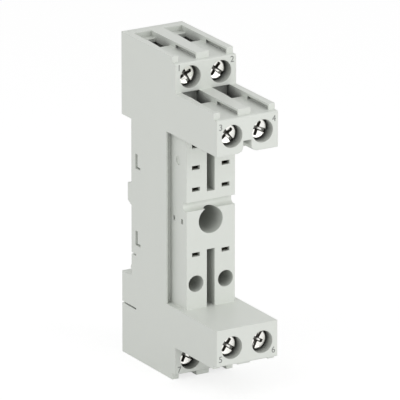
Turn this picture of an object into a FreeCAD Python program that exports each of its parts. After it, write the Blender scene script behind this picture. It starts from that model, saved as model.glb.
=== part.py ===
import FreeCAD, Part
import os

import Sketcher

# Screw-terminal socket for a small two-changeover relay, made to clip on a 35 mm rail.
#
# Millimetres. X runs across the socket, -Y is the front that takes the relay, +Z is up.
# The origin is the middle of the flat that rests on the rail: y = 0 is the rail's face
# and z = 0 is the rail's centre line.

# Every driving size, with what it measures
SIZES = [
    ("body_width", 15.4, "across both cheeks"),
    ("body_height", 74.4, "top of the upper tier to bottom of the lower tier"),
    ("foot_gap", 36.4, "opening between the two feet that hold the rail"),
    ("foot_depth", 4.2, "how far the feet stand back past the rail's face"),
    ("rear_tier_front", 19.2, "face of the COM and NC tiers"),
    ("front_tier_front", 37.0, "face of the NO and coil tiers"),
    ("bay_above", 19.5, "relay bay above the centre line"),
    ("bay_below", 20.3, "relay bay below the centre line"),
    ("upper_tier_height", 9.6, "NO tier, top to underside"),
    ("lower_tier_height", 9.1, "coil tier, top to underside"),
    ("block_front", 21.4, "face that the relay sits on"),
    ("block_width", 12.3, "narrow block in the relay bay"),
    ("cheek_front", 15.3, "front edge of the side walls in the bay"),
    ("cheek_rim", 0.4, "thin front rim of a side wall"),
    ("cheek_groove", 0.9, "depth of the groove between rim and block"),
    ("cheek_wall", 1.3, "side wall behind the block"),
    ("post_step", 1.35, "face of a tier to the ends of the posts beside its channels"),
    ("sill_ease", 0.25, "chamfer along the sill's front edge"),
    ("cover_wall", 1.4, "rear cover"),
    ("cover_play", 0.1, "rear cover to each side wall"),
    ("channel_width", 4.5, "wire channel on top of a tier"),
    ("channel_depth", 1.4, "wire channels and sill of the COM, NO and NC tiers"),
    ("low_channel_depth", 0.7, "wire channels and sill of the coil tier"),
    ("channel_flare", 0.7, "how far a channel widens on its left between entry and sill"),
    ("lip_length", 1.1, "post end that narrows the channel again"),
    ("back_wall", 1.1, "housing wall behind a rear channel"),
    ("tier_inset", 1.25, "how far a front channel runs in under the rear tier"),
    ("undercut_height", 0.85, "slit along the foot of a channel's wall"),
    ("undercut_depth", 0.7, "slit along the foot of a channel's wall"),
    ("undercut_start", 2.5, "wire entry to the start of the slit"),
    ("undercut_wall", 0.35, "wall that closes the slit at the post's end"),
    ("wire_hole_length", 6.25, "wire entry, along the depth"),
    ("screw_spacing", 7.7, "between the two screws of a tier"),
    ("rear_screw_inset", 4.8, "COM or NC screw to the end of the body"),
    ("upper_screw_rise", 4.2, "NO screw above the tier's underside"),
    ("lower_screw_drop", 4.4, "coil screw below the tier's top"),
    ("screw_hole", 5.2, "bore that the screw's head sits in"),
    ("head_depth", 2.3, "face of the tier to the screw's head"),
    ("head_width", 4.9, "screw head"),
    ("head_height", 2.1, "screw head"),
    ("head_edge", 0.35, "chamfer round the head"),
    ("drive_slot", 0.8, "screwdriver slot and cross, width"),
    ("drive_depth", 0.9, "screwdriver slot, depth"),
    ("cross_reach", 3.3, "cross recess, tip to tip"),
    ("cross_depth", 1.4, "cross recess, depth"),
    ("seat_play", 0.2, "head to the wall that stops it"),
    ("seat_wall", 0.8, "wall between head and clamp"),
    ("shank_width", 3.0, "screw thread, outside"),
    ("shank_hole", 3.4, "hole for the shank"),
    ("thread_play", 0.05, "nut bore to screw thread, on the radius"),
    ("tongue_depth", 12.8, "face of the tier to the contact tongue"),
    ("strip_thickness", 0.8, "contact strip"),
    ("strip_width", 2.6, "contact strip"),
    ("strip_play", 0.2, "contact strip to its slot"),
    ("tip_play", 0.1, "screw tip to the contact tongue"),
    ("clamp_travel", 3.8, "how far a clamp cage moves"),
    ("wire_room", 5.0, "tongue to the cage's back when open"),
    ("cage_width", 4.6, "clamp cage"),
    ("cage_height", 4.6, "clamp cage"),
    ("cage_wall", 0.7, "sides of the cage"),
    ("cage_back", 1.0, "back of the cage"),
    ("cage_nut", 1.6, "threaded front of the cage"),
    ("cage_round", 0.5, "outer corners of the cage"),
    ("cage_play", 0.25, "clamp cage to its chamber"),
    ("pin_rows", 7.5, "between the two rows of relay pins"),
    ("pin_pitch", 5.0, "between relay contacts of a row"),
    ("coil_gap", 15.0, "NC contact to coil contact"),
    ("top_pin", 17.2, "NO contact above the centre line"),
    ("pin_slot_width", 2.0, "slot for a relay pin"),
    ("pin_slot_height", 0.95, "slot for a relay pin"),
    ("face_wall", 1.0, "front wall over the contacts"),
    ("fork_half", 0.9, "half height of a contact fork at its root"),
    ("fork_leaf", 0.45, "leaf of a contact fork"),
    ("fork_pinch", 0.15, "half gap where the fork grips a pin"),
    ("fork_nose", 0.9, "flared lead-in of the fork"),
    ("fork_flare", 0.45, "how far the lead-in opens"),
    ("fork_crotch", 1.2, "solid root of the fork"),
    ("front_web", 12.9, "depth of the upright run of a NO or coil strip"),
    ("leg_gap", 0.2, "strip leg to the clamp chamber"),
    ("vent_width", 2.0, "upright slots in the block"),
    ("vent_depth", 8.0, "upright slots in the block"),
    ("vent_above", 6.3, "upper slot starts this far above the centre line"),
    ("vent_below", 7.05, "lower slot starts this far below the centre line"),
    ("mount_height", -0.4, "fixing hole from the centre line"),
    ("mount_bore", 3.4, "fixing hole for a 3 mm screw"),
    ("mount_head", 6.1, "counterbore for its head"),
    ("mount_head_depth", 11.9, "counterbore for its head"),
    ("clip_groove_height", 3.35, "groove for the retaining clip"),
    ("clip_groove_width", 2.1, "groove for the retaining clip"),
    ("clip_groove_straight", 0.6, "straight part of the groove's side"),
    ("module_drop", 14.55, "module holes below the centre line"),
    ("module_hole", 3.8, "hole for the plug-in module"),
    ("module_depth", 7.5, "hole for the plug-in module"),
    ("boss_notch_width", 2.1, "notch between the NO screw bosses"),
    ("boss_notch_height", 2.7, "notch between the NO screw bosses"),
    ("boss_notch_depth", 4.0, "notch between the NO screw bosses"),
    ("boss_round", 1.2, "rounding of the bosses at the notch"),
    ("boss_cusp", 0.36, "how far the rounding stands in from its corner"),
    ("bump_depth", 1.6, "rail stop on a side wall"),
    ("bump_top", 3.1, "rail stop, top"),
    ("bump_bottom", 1.8, "rail stop, bottom"),
    ("slit_width", 0.4, "cuts that free the springy foot"),
    ("slit_depth", 2.0, "how far the cuts go past the rail's face"),
    ("upper_slit", 12.9, "cut above the springy foot"),
    ("foot_height", 7.3, "springy foot, up to the cut below it"),
    ("tooth_drop", 16.3, "tooth that presses on the rail's edge"),
    ("tooth_rise", 0.45, "tooth that presses on the rail's edge"),
    ("window_middle", 8.9, "snap windows above and below the centre line"),
    ("window_height", 3.4, "snap window"),
    ("window_depth", 1.0, "snap window, front to back"),
    ("window_start", 1.7, "snap window in front of the rail's face"),
    ("window_toe", 1.2, "extra reach of the window's foot"),
    ("window_toe_height", 0.6, "height of the window's foot"),
    ("lug_play", 0.15, "snap lug to its window"),
    ("lug_arm", 0.9, "arm that carries a snap lug"),
    ("hook_width", 8.0, "rail hooks"),
    ("hook_clear", 1.25, "rail's face to the hook: rail plus play"),
    ("hook_thickness", 2.2, "rail hooks"),
    ("hook_reach", 2.0, "how far a hook reaches over the rail"),
    ("hook_slope", 0.8, "lead-in of the hooks"),
    ("side_mark_width", 2.0, "round recess on the block's side"),
    ("side_mark_depth", 0.4, "round recess on the block's side"),
    ("side_mark_height", 13.2, "round recess above the centre line"),
    ("side_mark_front", 17.8, "round recess, depth"),
    ("catch_slot_width", 0.8, "small slots that take the clip's nibs"),
    ("catch_slot_height", 1.15, "small slots that take the clip's nibs"),
    ("catch_slot_depth", 1.4, "small slots that take the clip's nibs"),
    ("catch_slot_spacing", 3.4, "between the two small slots"),
    ("catch_slot_front", 19.4, "front one of the small slots"),
]

# Turn of each screw's slot as it was left, in degrees
SCREW_TURNS = {
    "com_left": 62, "com_right": 38, "no_left": 52, "no_right": 24,
    "coil_left": 35, "coil_right": 118, "nc_left": 28, "nc_right": 75,
}

doc = FreeCAD.newDocument("relay_socket")
sheet = doc.addObject("Spreadsheet::Sheet", "sizes")
for number, (alias, value, meaning) in enumerate(SIZES, start=1):
    sheet.set("A%d" % number, meaning)
    sheet.set("B%d" % number, str(value))
    sheet.setAlias("B%d" % number, alias)
doc.recompute()


# Places that several pieces share, as formulas of the sizes

def size(text):
    """Put the sheet's name before every alias in a formula."""
    words = []
    word = ""
    for letter in text + " ":
        if letter.isalnum() or letter in "_.":
            word += letter
        else:
            known = any(word == alias for alias, value, meaning in SIZES)
            words.append("sizes." + word if known else word)
            words.append(letter)
            word = ""
    return "".join(words).strip()


TOP = "body_height/2"
UPPER_TOP = "(bay_above+upper_tier_height)"
LOWER_BOTTOM = "(bay_below+lower_tier_height)"
SCREW_SEAT = "(head_depth+head_height+seat_play)"
CHAMBER_FRONT = "(head_depth+head_height+seat_play+seat_wall)"
CAGE_END = "(tongue_depth+strip_thickness+wire_room+cage_back)"
CAGE_START = "(head_depth+head_height+seat_play+seat_wall+cage_play+clamp_travel)"
INNER_HALF = "(body_width/2-cheek_wall)"
COVER_HALF = "(body_width/2-cheek_wall-cover_play)"
CONTACT_MOUTH = "(block_front-face_wall)"

# Each tier: its face, the height of its screws, the side that the wire comes in from (+1 is
# above), the end on that side, how deep its channels are, its relay pin, and the depth of its
# strips' upright runs where they have one
TIERS = {
    "com": {
        "face": "rear_tier_front", "screw": "(body_height/2-rear_screw_inset)", "side": 1,
        "end": "(body_height/2)", "deep": "channel_depth", "pin": "(top_pin-pin_pitch)", "web": None,
    },
    "no": {
        "face": "front_tier_front", "screw": "(bay_above+upper_screw_rise)", "side": 1,
        "end": UPPER_TOP, "deep": "channel_depth", "pin": "top_pin", "web": "front_web",
    },
    "coil": {
        "face": "front_tier_front", "screw": "-(bay_below+lower_screw_drop)", "side": -1,
        "end": "-" + LOWER_BOTTOM, "deep": "low_channel_depth",
        "pin": "(top_pin-2*pin_pitch-coil_gap)", "web": "front_web",
    },
    "nc": {
        "face": "rear_tier_front", "screw": "-(body_height/2-rear_screw_inset)", "side": -1,
        "end": "-(body_height/2)", "deep": "channel_depth", "pin": "(top_pin-2*pin_pitch)",
        "web": None,
    },
}
SIDES = {"left": -1, "right": 1}


# Drawing helpers

def plane(body, role):
    """Origin plane of a body, by its role."""
    return [part for part in body.Origin.OriginFeatures if part.Role == role][0]


def new_sketch(body, name, role, offset="0"):
    """Sketch on an origin plane of the body, moved along the plane's normal."""
    sketch = body.newObject("Sketcher::SketchObject", name)
    sketch.AttachmentSupport = [(plane(body, role), "")]
    sketch.MapMode = "FlatFace"
    sketch.setExpression("AttachmentOffset.Base.z", size(offset))
    return sketch


def hold(sketch, held):
    """Constraints on a sketch's points or circles, each held at its own formula."""
    made = []
    for kind, where, formula in held:
        value = float(sketch.evalExpression(size(formula)))
        made.append(Sketcher.Constraint(kind, *where, value))
    first = sketch.ConstraintCount
    sketch.addConstraint(made)
    for index, (kind, where, formula) in enumerate(held, start=first):
        sketch.setExpression("Constraints[%d]" % index, size(formula))


def outline(sketch, corners):
    """Closed outline of straight lines through corners given as formulas."""
    places = []
    for across, up in corners:
        across_now = float(sketch.evalExpression(size(across)))
        up_now = float(sketch.evalExpression(size(up)))
        places.append(FreeCAD.Vector(across_now, up_now, 0))
    count = len(places)
    first = sketch.GeometryCount
    lines = [Part.LineSegment(places[i], places[(i + 1) % count]) for i in range(count)]
    sketch.addGeometry(lines, False)
    joints = []
    for i in range(count):
        joints.append(Sketcher.Constraint("Coincident", first + i, 2, first + (i + 1) % count, 1))
    sketch.addConstraint(joints)
    held = []
    for i, (across, up) in enumerate(corners, start=first):
        held.append(("DistanceX", (-1, 1, i, 1), across))
        held.append(("DistanceY", (-1, 1, i, 1), up))
    hold(sketch, held)


def rectangle(sketch, left, right, low, high):
    """Rectangle between four formulas."""
    outline(sketch, [(left, low), (right, low), (right, high), (left, high)])


def centred(sketch, across, up, width, height):
    """Rectangle about a centre."""
    rectangle(
        sketch,
        "%s-%s/2" % (across, width), "%s+%s/2" % (across, width),
        "%s-%s/2" % (up, height), "%s+%s/2" % (up, height),
    )


def circle(sketch, across, up, diameter):
    """Circle at a centre, with its diameter tied to a formula."""
    middle = FreeCAD.Vector(
        float(sketch.evalExpression(size(across))), float(sketch.evalExpression(size(up))), 0
    )
    width = float(sketch.evalExpression(size(diameter)))
    index = sketch.addGeometry(Part.Circle(middle, FreeCAD.Vector(0, 0, 1), width / 2), False)
    hold(sketch, [
        ("DistanceX", (-1, 1, index, 3), across),
        ("DistanceY", (-1, 1, index, 3), up),
        ("Diameter", (index,), diameter),
    ])


def feature(kind, body, name, sketch, length, symmetric, backwards):
    """Pad or pocket of a body from a sketch."""
    made = body.newObject("PartDesign::" + kind, name)
    made.Profile = sketch
    made.Refine = False
    made.SideType = "Symmetric" if symmetric else "One side"
    made.Reversed = backwards
    made.setExpression("Length", size(length))
    return made


def pad(body, name, sketch, length, symmetric=False, backwards=False):
    """Add material to a body from a sketch."""
    return feature("Pad", body, name, sketch, length, symmetric, backwards)


def pocket(body, name, sketch, length, symmetric=False, backwards=False):
    """Cut material from a body, against the sketch's normal unless backwards."""
    return feature("Pocket", body, name, sketch, length, symmetric, backwards)


def new_body(label):
    """Body with the node's name as its label."""
    body = doc.addObject("PartDesign::Body", label)
    body.Label = label
    return body


def tier_screws(keys):
    """Each screw of the named tiers: its place across and up, as formulas."""
    for key in keys:
        for side in SIDES.values():
            yield key, "%d*screw_spacing/2" % side, TIERS[key]["screw"]


# Housing: front moulding with side walls, tiers, relay block and clamp chambers

def tier_end(tier):
    """Corners from a tier's face over its sill to the ends of its posts."""
    face = tier["face"]
    inward = -tier["side"]
    sill = "%s%+d*%s" % (tier["end"], inward, tier["deep"])
    return [
        ("-" + face, "%s%+d*sill_ease" % (sill, inward)),
        ("-(%s-sill_ease)" % face, sill),
        ("-(%s-post_step)" % face, sill),
        ("-(%s-post_step)" % face, tier["end"]),
    ]


def housing_profile():
    """Side view of the housing, as seen on its side walls."""
    saw_middle = "-(foot_gap/2+foot_height)"
    corners = [("foot_depth", TOP)]
    corners += reversed(tier_end(TIERS["com"]))
    corners += [("-rear_tier_front", UPPER_TOP)]
    corners += reversed(tier_end(TIERS["no"]))
    corners += [
        ("-front_tier_front", "bay_above"),
        ("-cheek_front", "bay_above"),
        ("-cheek_front", "-bay_below"),
        ("-front_tier_front", "-bay_below"),
    ]
    corners += tier_end(TIERS["coil"])
    corners += [("-rear_tier_front", "-" + LOWER_BOTTOM)]
    corners += tier_end(TIERS["nc"])
    return corners + [
        ("foot_depth", "-body_height/2"),
        ("foot_depth", saw_middle + "-slit_width/2"),
        ("-slit_depth", saw_middle + "-slit_width/2"),
        ("-slit_depth", saw_middle + "+slit_width/2"),
        ("foot_depth", saw_middle + "+slit_width/2"),
        ("foot_depth", "-foot_gap/2"),
        ("0", "-foot_gap/2"),
        ("0", "-tooth_drop-tooth_rise"),
        ("tooth_rise", "-tooth_drop"),
        ("0", "-tooth_drop+2*tooth_rise"),
        ("0", "-upper_slit-slit_width/2"),
        ("-slit_depth", "-upper_slit-slit_width/2"),
        ("-slit_depth", "-upper_slit+slit_width/2"),
        ("0", "-upper_slit+slit_width/2"),
        ("0", "-bump_bottom"),
        ("bump_depth", "-bump_bottom+bump_depth/2"),
        ("bump_depth", "bump_top"),
        ("0", "bump_top"),
        ("0", "foot_gap/2"),
        ("foot_depth", "foot_gap/2"),
    ]


def cut_cover_seat(body):
    """Space between the side walls that the rear cover fills."""
    sketch = new_sketch(body, "cover_seat", "YZ_Plane")
    past = "foot_depth+cover_wall"
    outline(sketch, [
        (past, TOP + "+cover_wall"),
        ("foot_depth-cover_wall", TOP + "+cover_wall"),
        ("foot_depth-cover_wall", "foot_gap/2+cover_wall"),
        ("-cover_wall", "foot_gap/2+cover_wall"),
        ("-cover_wall", "-foot_gap/2-cover_wall"),
        ("foot_depth-cover_wall", "-foot_gap/2-cover_wall"),
        ("foot_depth-cover_wall", "-body_height/2-cover_wall"),
        (past, "-body_height/2-cover_wall"),
    ])
    pocket(body, "cover_seat_cut", sketch, "2*" + INNER_HALF, symmetric=True)


def cut_bay(body):
    """Grooves between the side walls' rims and the block."""
    sketch = new_sketch(body, "cheek_grooves", "XZ_Plane", "cheek_front")
    for side in SIDES.values():
        rectangle(
            sketch,
            "%d*block_width/2" % side, "%d*(body_width/2-cheek_rim)" % side,
            "-bay_below", "bay_above",
        )
    pocket(body, "cheek_groove_cut", sketch, "cheek_groove")


def cut_screws(body):
    """Bores for the heads, holes for the shanks and chambers for the clamp cages."""
    for tiers, name in ((("com", "nc"), "rear"), (("no", "coil"), "front")):
        face = TIERS[tiers[0]]["face"]
        heads = new_sketch(body, name + "_heads", "XZ_Plane", face)
        shanks = new_sketch(body, name + "_shanks", "XZ_Plane", face)
        chambers = new_sketch(body, name + "_chambers", "XZ_Plane", face + "-" + CHAMBER_FRONT)
        for key, across, up in tier_screws(tiers):
            circle(heads, across, up, "screw_hole")
            circle(shanks, across, up, "shank_hole")
            centred(chambers, across, up, "(cage_width+2*cage_play)", "(cage_height+2*cage_play)")
        pocket(body, name + "_head_bores", heads, SCREW_SEAT)
        pocket(body, name + "_shank_holes", shanks, "(%s+cage_play)" % CHAMBER_FRONT)
        pocket(body, name + "_clamp_chambers", chambers, "%s+cage_play-%s" % (CAGE_END, CHAMBER_FRONT))


def channel(sketch, middle, tier, rear):
    """One channel from the sill back, wider on its left side behind the lip of its post."""
    left = middle + "-channel_width/2"
    right = middle + "+channel_width/2"
    sill = "-%s" % tier["face"]
    lip = "%s+post_step+lip_length" % sill
    outline(sketch, [
        (left, sill),
        (right, sill),
        (right, rear),
        (left, rear),
        (left, sill + "+tongue_depth"),
        (left + "-channel_flare", lip),
        (left, lip),
    ])


def cut_wire_ways(body, key):
    """Channels and wire entries of one tier, from its outer side down to the chambers."""
    tier = TIERS[key]
    above = tier["side"] > 0
    sill = "-" + tier["face"]
    entry = sill + "+tongue_depth"
    rear = "-rear_tier_front+tier_inset"
    if tier["face"] == "rear_tier_front":
        rear = "foot_depth-cover_wall-back_wall"
    floor = "(%s-%d*%s)" % (tier["end"], tier["side"], tier["deep"])
    top = new_sketch(body, key + "_channels", "XY_Plane", tier["end"])
    holes = new_sketch(body, key + "_wire_holes", "XY_Plane", floor)
    undercuts = new_sketch(body, key + "_undercuts", "XY_Plane", floor)
    for side in SIDES.values():
        middle = "%d*screw_spacing/2" % side
        left = middle + "-channel_width/2"
        right = middle + "+channel_width/2"
        channel(top, middle, tier, rear)
        rectangle(holes, left, right, entry, entry + "+wire_hole_length")
        rectangle(
            undercuts, right, right + "+undercut_depth",
            sill + "+post_step+undercut_wall", entry + "-undercut_start",
        )
    pocket(body, key + "_channel_cut", top, tier["deep"], backwards=not above)
    down = "%d*(%s-%s)-cage_height/2" % (tier["side"], floor, tier["screw"])
    pocket(body, key + "_wire_entries", holes, down, backwards=not above)
    if above:
        pocket(body, key + "_undercut", undercuts, "undercut_height", backwards=True)


def cut_contacts(body, key):
    """Slots for one tier's two contact strips, and for the relay's pins."""
    tier = TIERS[key]
    turn = tier["side"]
    width = "(strip_width+2*strip_play)"
    pins = new_sketch(body, key + "_pin_slots", "XZ_Plane", "block_front")
    forks = new_sketch(body, key + "_fork_slots", "XZ_Plane", CONTACT_MOUTH)
    for side in SIDES.values():
        row = "%d*pin_rows/2" % side
        centred(pins, row, tier["pin"], "pin_slot_width", "pin_slot_height")
        centred(forks, row, tier["pin"], width, "2*(fork_half+fork_flare+strip_play)")
    pocket(body, key + "_pin_slot_cut", pins, "face_wall+strip_play")
    pocket(body, key + "_fork_slot_cut", forks, "%s-cover_wall" % CONTACT_MOUTH)

    runs = new_sketch(body, key + "_strip_slot", "YZ_Plane", "-pin_rows/2")
    others = new_sketch(body, key + "_strip_slot_right", "YZ_Plane", "pin_rows/2")
    for sketch in (runs, others):
        if tier["web"]:
            leg = "(%s-%d*(cage_height/2+cage_play))" % (tier["screw"], turn)
            rectangle(
                sketch, "-%s-strip_thickness-strip_play" % tier["web"], "-cover_wall",
                tier["pin"], leg,
            )
        else:
            rectangle(
                sketch, "-(%s-tongue_depth)-strip_play" % tier["face"], "-cover_wall",
                tier["pin"], "%s-%d*cage_height/2" % (tier["screw"], turn),
            )
    pocket(body, key + "_strip_slot_cut", runs, width, symmetric=True)
    pocket(body, key + "_strip_slot_right_cut", others, width, symmetric=True)
    if tier["web"]:
        near = "(%s-%d*(cage_height/2+cage_play))" % (tier["screw"], turn)
        far = "(%s-%d*(cage_height/2+cage_play+leg_gap+strip_thickness+strip_play))" % (tier["screw"], turn)
        legs = new_sketch(body, key + "_leg_slots", "XZ_Plane", tier["face"] + "-tongue_depth+strip_play")
        for side in SIDES.values():
            row = "%d*pin_rows/2" % side
            rectangle(legs, row + "-%s/2" % width, row + "+%s/2" % width, far, near)
        pocket(body, key + "_leg_slot_cut", legs, "%s-tongue_depth+strip_play-cover_wall" % tier["face"])


def cut_block_face(body):
    """Upright slots, fixing hole, clip groove and module holes in the block's face."""
    vents = new_sketch(body, "vents", "XZ_Plane", "block_front")
    rectangle(vents, "-vent_width/2", "vent_width/2", "vent_above", "bay_above")
    rectangle(vents, "-vent_width/2", "vent_width/2", "-bay_below", "-vent_below")
    pocket(body, "vent_slots", vents, "vent_depth")

    bore = new_sketch(body, "fixing_bore", "XZ_Plane", "block_front")
    circle(bore, "0", "mount_height", "mount_bore")
    pocket(body, "fixing_hole", bore, "block_front")
    head = new_sketch(body, "fixing_head", "XZ_Plane", "block_front")
    circle(head, "0", "mount_height", "mount_head")
    pocket(body, "fixing_counterbore", head, "mount_head_depth")

    straight = new_sketch(body, "clip_groove_sides", "YZ_Plane")
    rectangle(
        straight, "-block_front-clip_groove_straight", "-block_front+clip_groove_straight",
        "clip_groove_height-clip_groove_width/2", "clip_groove_height+clip_groove_width/2",
    )
    pocket(body, "clip_groove_mouth", straight, "block_width", symmetric=True)
    bottom = new_sketch(body, "clip_groove_bottom", "YZ_Plane")
    circle(bottom, "-block_front+clip_groove_straight", "clip_groove_height", "clip_groove_width")
    pocket(body, "clip_groove", bottom, "block_width", symmetric=True)

    modules = new_sketch(body, "module_holes", "XZ_Plane", "block_front")
    for side in SIDES.values():
        circle(modules, "%d*pin_rows/2" % side, "-module_drop", "module_hole")
    pocket(body, "module_hole_cut", modules, "module_depth")


def cut_side_details(body):
    """Snap windows, round recess, clip slots, and the notch between the NO bosses."""
    windows = new_sketch(body, "snap_windows", "YZ_Plane")
    back = "-window_start"
    front = "-(window_start+window_depth)"
    toe = "-(window_start+window_depth+window_toe)"
    for middle in ("window_middle", "-window_middle"):
        low = middle + "-window_height/2"
        outline(windows, [
            (back, low),
            (toe, low),
            (toe, low + "+window_toe_height"),
            (front, low + "+window_toe_height"),
            (front, middle + "+window_height/2"),
            (back, middle + "+window_height/2"),
        ])
    pocket(body, "snap_window_cut", windows, "body_width", symmetric=True)

    arms = new_sketch(body, "lug_arm_slots", "YZ_Plane")
    for middle in ("window_middle", "-window_middle"):
        rectangle(
            arms, "-(window_start+window_depth)", "0",
            middle + "-window_height/2", middle + "+window_height/2",
        )
    pocket(body, "lug_arm_slot_cut", arms, "2*" + INNER_HALF, symmetric=True)

    for side in SIDES.values():
        marks = new_sketch(body, "side_marks", "YZ_Plane", "%d*block_width/2" % side)
        circle(marks, "-side_mark_front", "side_mark_height", "side_mark_width")
        pocket(body, "side_mark_cut", marks, "side_mark_depth", backwards=side < 0)
        catches = new_sketch(body, "catch_slots", "YZ_Plane", "%d*block_width/2" % side)
        for step in (0, 1):
            centred(
                catches, "-(catch_slot_front-%d*catch_slot_spacing)" % step, "mount_height",
                "catch_slot_width", "catch_slot_height",
            )
        pocket(body, "catch_slot_cut", catches, "catch_slot_depth", backwards=side < 0)

    notch = new_sketch(body, "boss_notch", "XZ_Plane", "front_tier_front")
    half = "boss_notch_width/2"
    outline(notch, [
        ("-%s-boss_round" % half, "bay_above-boss_round"),
        ("-%s-boss_round" % half, "bay_above"),
        ("-%s-boss_cusp" % half, "bay_above+boss_cusp"),
        ("-" + half, "bay_above+boss_round"),
        ("-" + half, "bay_above+boss_notch_height"),
        (half, "bay_above+boss_notch_height"),
        (half, "bay_above+boss_round"),
        ("%s+boss_cusp" % half, "bay_above+boss_cusp"),
        ("%s+boss_round" % half, "bay_above"),
        ("%s+boss_round" % half, "bay_above-boss_round"),
    ])
    pocket(body, "boss_notch_cut", notch, "boss_notch_depth")


def make_housing():
    """Front moulding."""
    body = new_body("housing")
    side_view = new_sketch(body, "side_view", "YZ_Plane")
    outline(side_view, housing_profile())
    pad(body, "walls", side_view, "body_width", symmetric=True)
    face = new_sketch(body, "block_outline", "XZ_Plane", "cheek_front")
    rectangle(face, "-block_width/2", "block_width/2", "-bay_below", "bay_above")
    pad(body, "block", face, "block_front-cheek_front")
    cut_cover_seat(body)
    cut_bay(body)
    cut_screws(body)
    for key in TIERS:
        cut_wire_ways(body, key)
        cut_contacts(body, key)
    cut_block_face(body)
    cut_side_details(body)
    return body


# Rear cover: closes the back, sits on the rail and carries the rail hooks

def make_rear_cover():
    """Rear moulding between the side walls."""
    body = new_body("rear_cover")
    section = new_sketch(body, "section", "YZ_Plane")
    saw_middle = "-(foot_gap/2+foot_height)"
    outline(section, [
        ("foot_depth", TOP),
        ("foot_depth-cover_wall", TOP),
        ("foot_depth-cover_wall", "foot_gap/2+cover_wall"),
        ("-cover_wall", "foot_gap/2+cover_wall"),
        ("-cover_wall", "-foot_gap/2-cover_wall"),
        ("foot_depth-cover_wall", "-foot_gap/2-cover_wall"),
        ("foot_depth-cover_wall", "-body_height/2"),
        ("foot_depth", "-body_height/2"),
        ("foot_depth", saw_middle + "-slit_width/2"),
        ("foot_depth-cover_wall/2", saw_middle + "-slit_width/2"),
        ("foot_depth-cover_wall/2", saw_middle + "+slit_width/2"),
        ("foot_depth", saw_middle + "+slit_width/2"),
        ("foot_depth", "-foot_gap/2"),
        ("0", "-foot_gap/2"),
        ("0", "foot_gap/2"),
        ("foot_depth", "foot_gap/2"),
    ])
    pad(body, "plate", section, "2*" + COVER_HALF, symmetric=True)

    hooks = new_sketch(body, "hooks", "YZ_Plane")
    for sign in ("", "-"):
        edge = "%s(foot_gap/2" % sign
        outline(hooks, [
            ("hook_clear", edge + ")"),
            ("hook_clear", edge + "-hook_reach)"),
            ("hook_clear+hook_slope", edge + "-hook_reach)"),
            ("hook_clear+hook_thickness", edge + "-hook_reach+hook_slope)"),
            ("hook_clear+hook_thickness", edge + "+cover_wall)"),
            ("hook_clear", edge + "+cover_wall)"),
        ])
    pad(body, "rail_hooks", hooks, "hook_width", symmetric=True)

    cores = new_sketch(body, "hook_cores", "XZ_Plane")
    for sign in ("", "-"):
        rectangle(
            cores, "-hook_width/2", "hook_width/2",
            "%s(foot_gap/2-hook_reach-strip_play)" % sign, "%sfoot_gap/2" % sign,
        )
    pocket(body, "hook_core_cut", cores, "cover_wall", backwards=True)

    bore = new_sketch(body, "fixing_bore", "XZ_Plane")
    circle(bore, "0", "mount_height", "mount_bore")
    pocket(body, "fixing_hole", bore, "2*cover_wall", symmetric=True)

    arms = new_sketch(body, "lug_arms", "XZ_Plane", "cover_wall")
    lugs = new_sketch(body, "lugs", "XZ_Plane", "window_start+lug_play")
    for side in SIDES.values():
        for middle in ("window_middle", "-window_middle"):
            low = middle + "-window_height/2+lug_play"
            high = middle + "+window_height/2-lug_play"
            rectangle(
                arms, "%d*(%s-lug_arm)" % (side, COVER_HALF), "%d*%s" % (side, COVER_HALF), low, high,
            )
            rectangle(
                lugs, "%d*(%s-lug_arm)" % (side, COVER_HALF), "%d*(body_width/2-cheek_wall/2)" % side,
                low, high,
            )
    pad(body, "lug_arm_bars", arms, "window_start+window_depth-cover_wall-lug_play")
    pad(body, "snap_lugs", lugs, "window_depth-2*lug_play")
    return body


# Contact strips: stamped and bent, from the relay pin's fork to the screw clamp's tongue

def strip_outline(tier):
    """Side view of one strip, for a wire that comes in from above (+1) or below (-1)."""
    turn = tier["side"]
    pin = tier["pin"]
    thick = "strip_thickness"
    tongue = "-(%s-tongue_depth)" % tier["face"]
    tongue_end = "(%s+%d*cage_height/2)" % (tier["screw"], turn)
    mouth = "-" + CONTACT_MOUTH
    pinch = mouth + "+fork_nose"
    fork_root = "-%s+strip_thickness" % tier["web"] if tier["web"] else tongue + "+strip_thickness"

    def at(level):
        return "%s+%d*(%s)" % (pin, turn, level)

    front = "(%s-strip_thickness)" % fork_root
    crotch = "(%s-fork_crotch)" % front
    fork = [
        (front, at("fork_half")),
        (pinch, at("fork_pinch+fork_leaf")),
        (mouth, at("fork_pinch+fork_leaf+fork_flare")),
        (mouth, at("fork_pinch+fork_flare")),
        (pinch, at("fork_pinch")),
        (crotch, at("fork_half-fork_leaf")),
        (crotch, at("-fork_half+fork_leaf")),
        (pinch, at("-fork_pinch")),
        (mouth, at("-fork_pinch-fork_flare")),
        (mouth, at("-fork_pinch-fork_flare-fork_leaf")),
        (pinch, at("-fork_pinch-fork_leaf")),
        (front, at("-fork_half")),
        (fork_root, at("-fork_half")),
    ]
    if tier["web"]:
        near = "(%s-%d*(cage_height/2+cage_play+leg_gap))" % (tier["screw"], turn)
        far = "(%s-%d*(cage_height/2+cage_play+leg_gap+strip_thickness))" % (tier["screw"], turn)
        run = [
            (fork_root, near),
            (tongue + "+" + thick, near),
            (tongue + "+" + thick, tongue_end),
            (tongue, tongue_end),
            (tongue, far),
            (front, far),
        ]
    else:
        run = [(fork_root, tongue_end), (tongue, tongue_end)]
    return run + fork


def make_strip(label, tier, side):
    """Contact strip of one terminal."""
    body = new_body(label)
    side_view = new_sketch(body, "side_view", "YZ_Plane", "%d*pin_rows/2" % side)
    outline(side_view, strip_outline(tier))
    pad(body, "strip", side_view, "strip_width", symmetric=True)
    return body


# Clamp cages: a loop round the tongue, with the nut in its front

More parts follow.
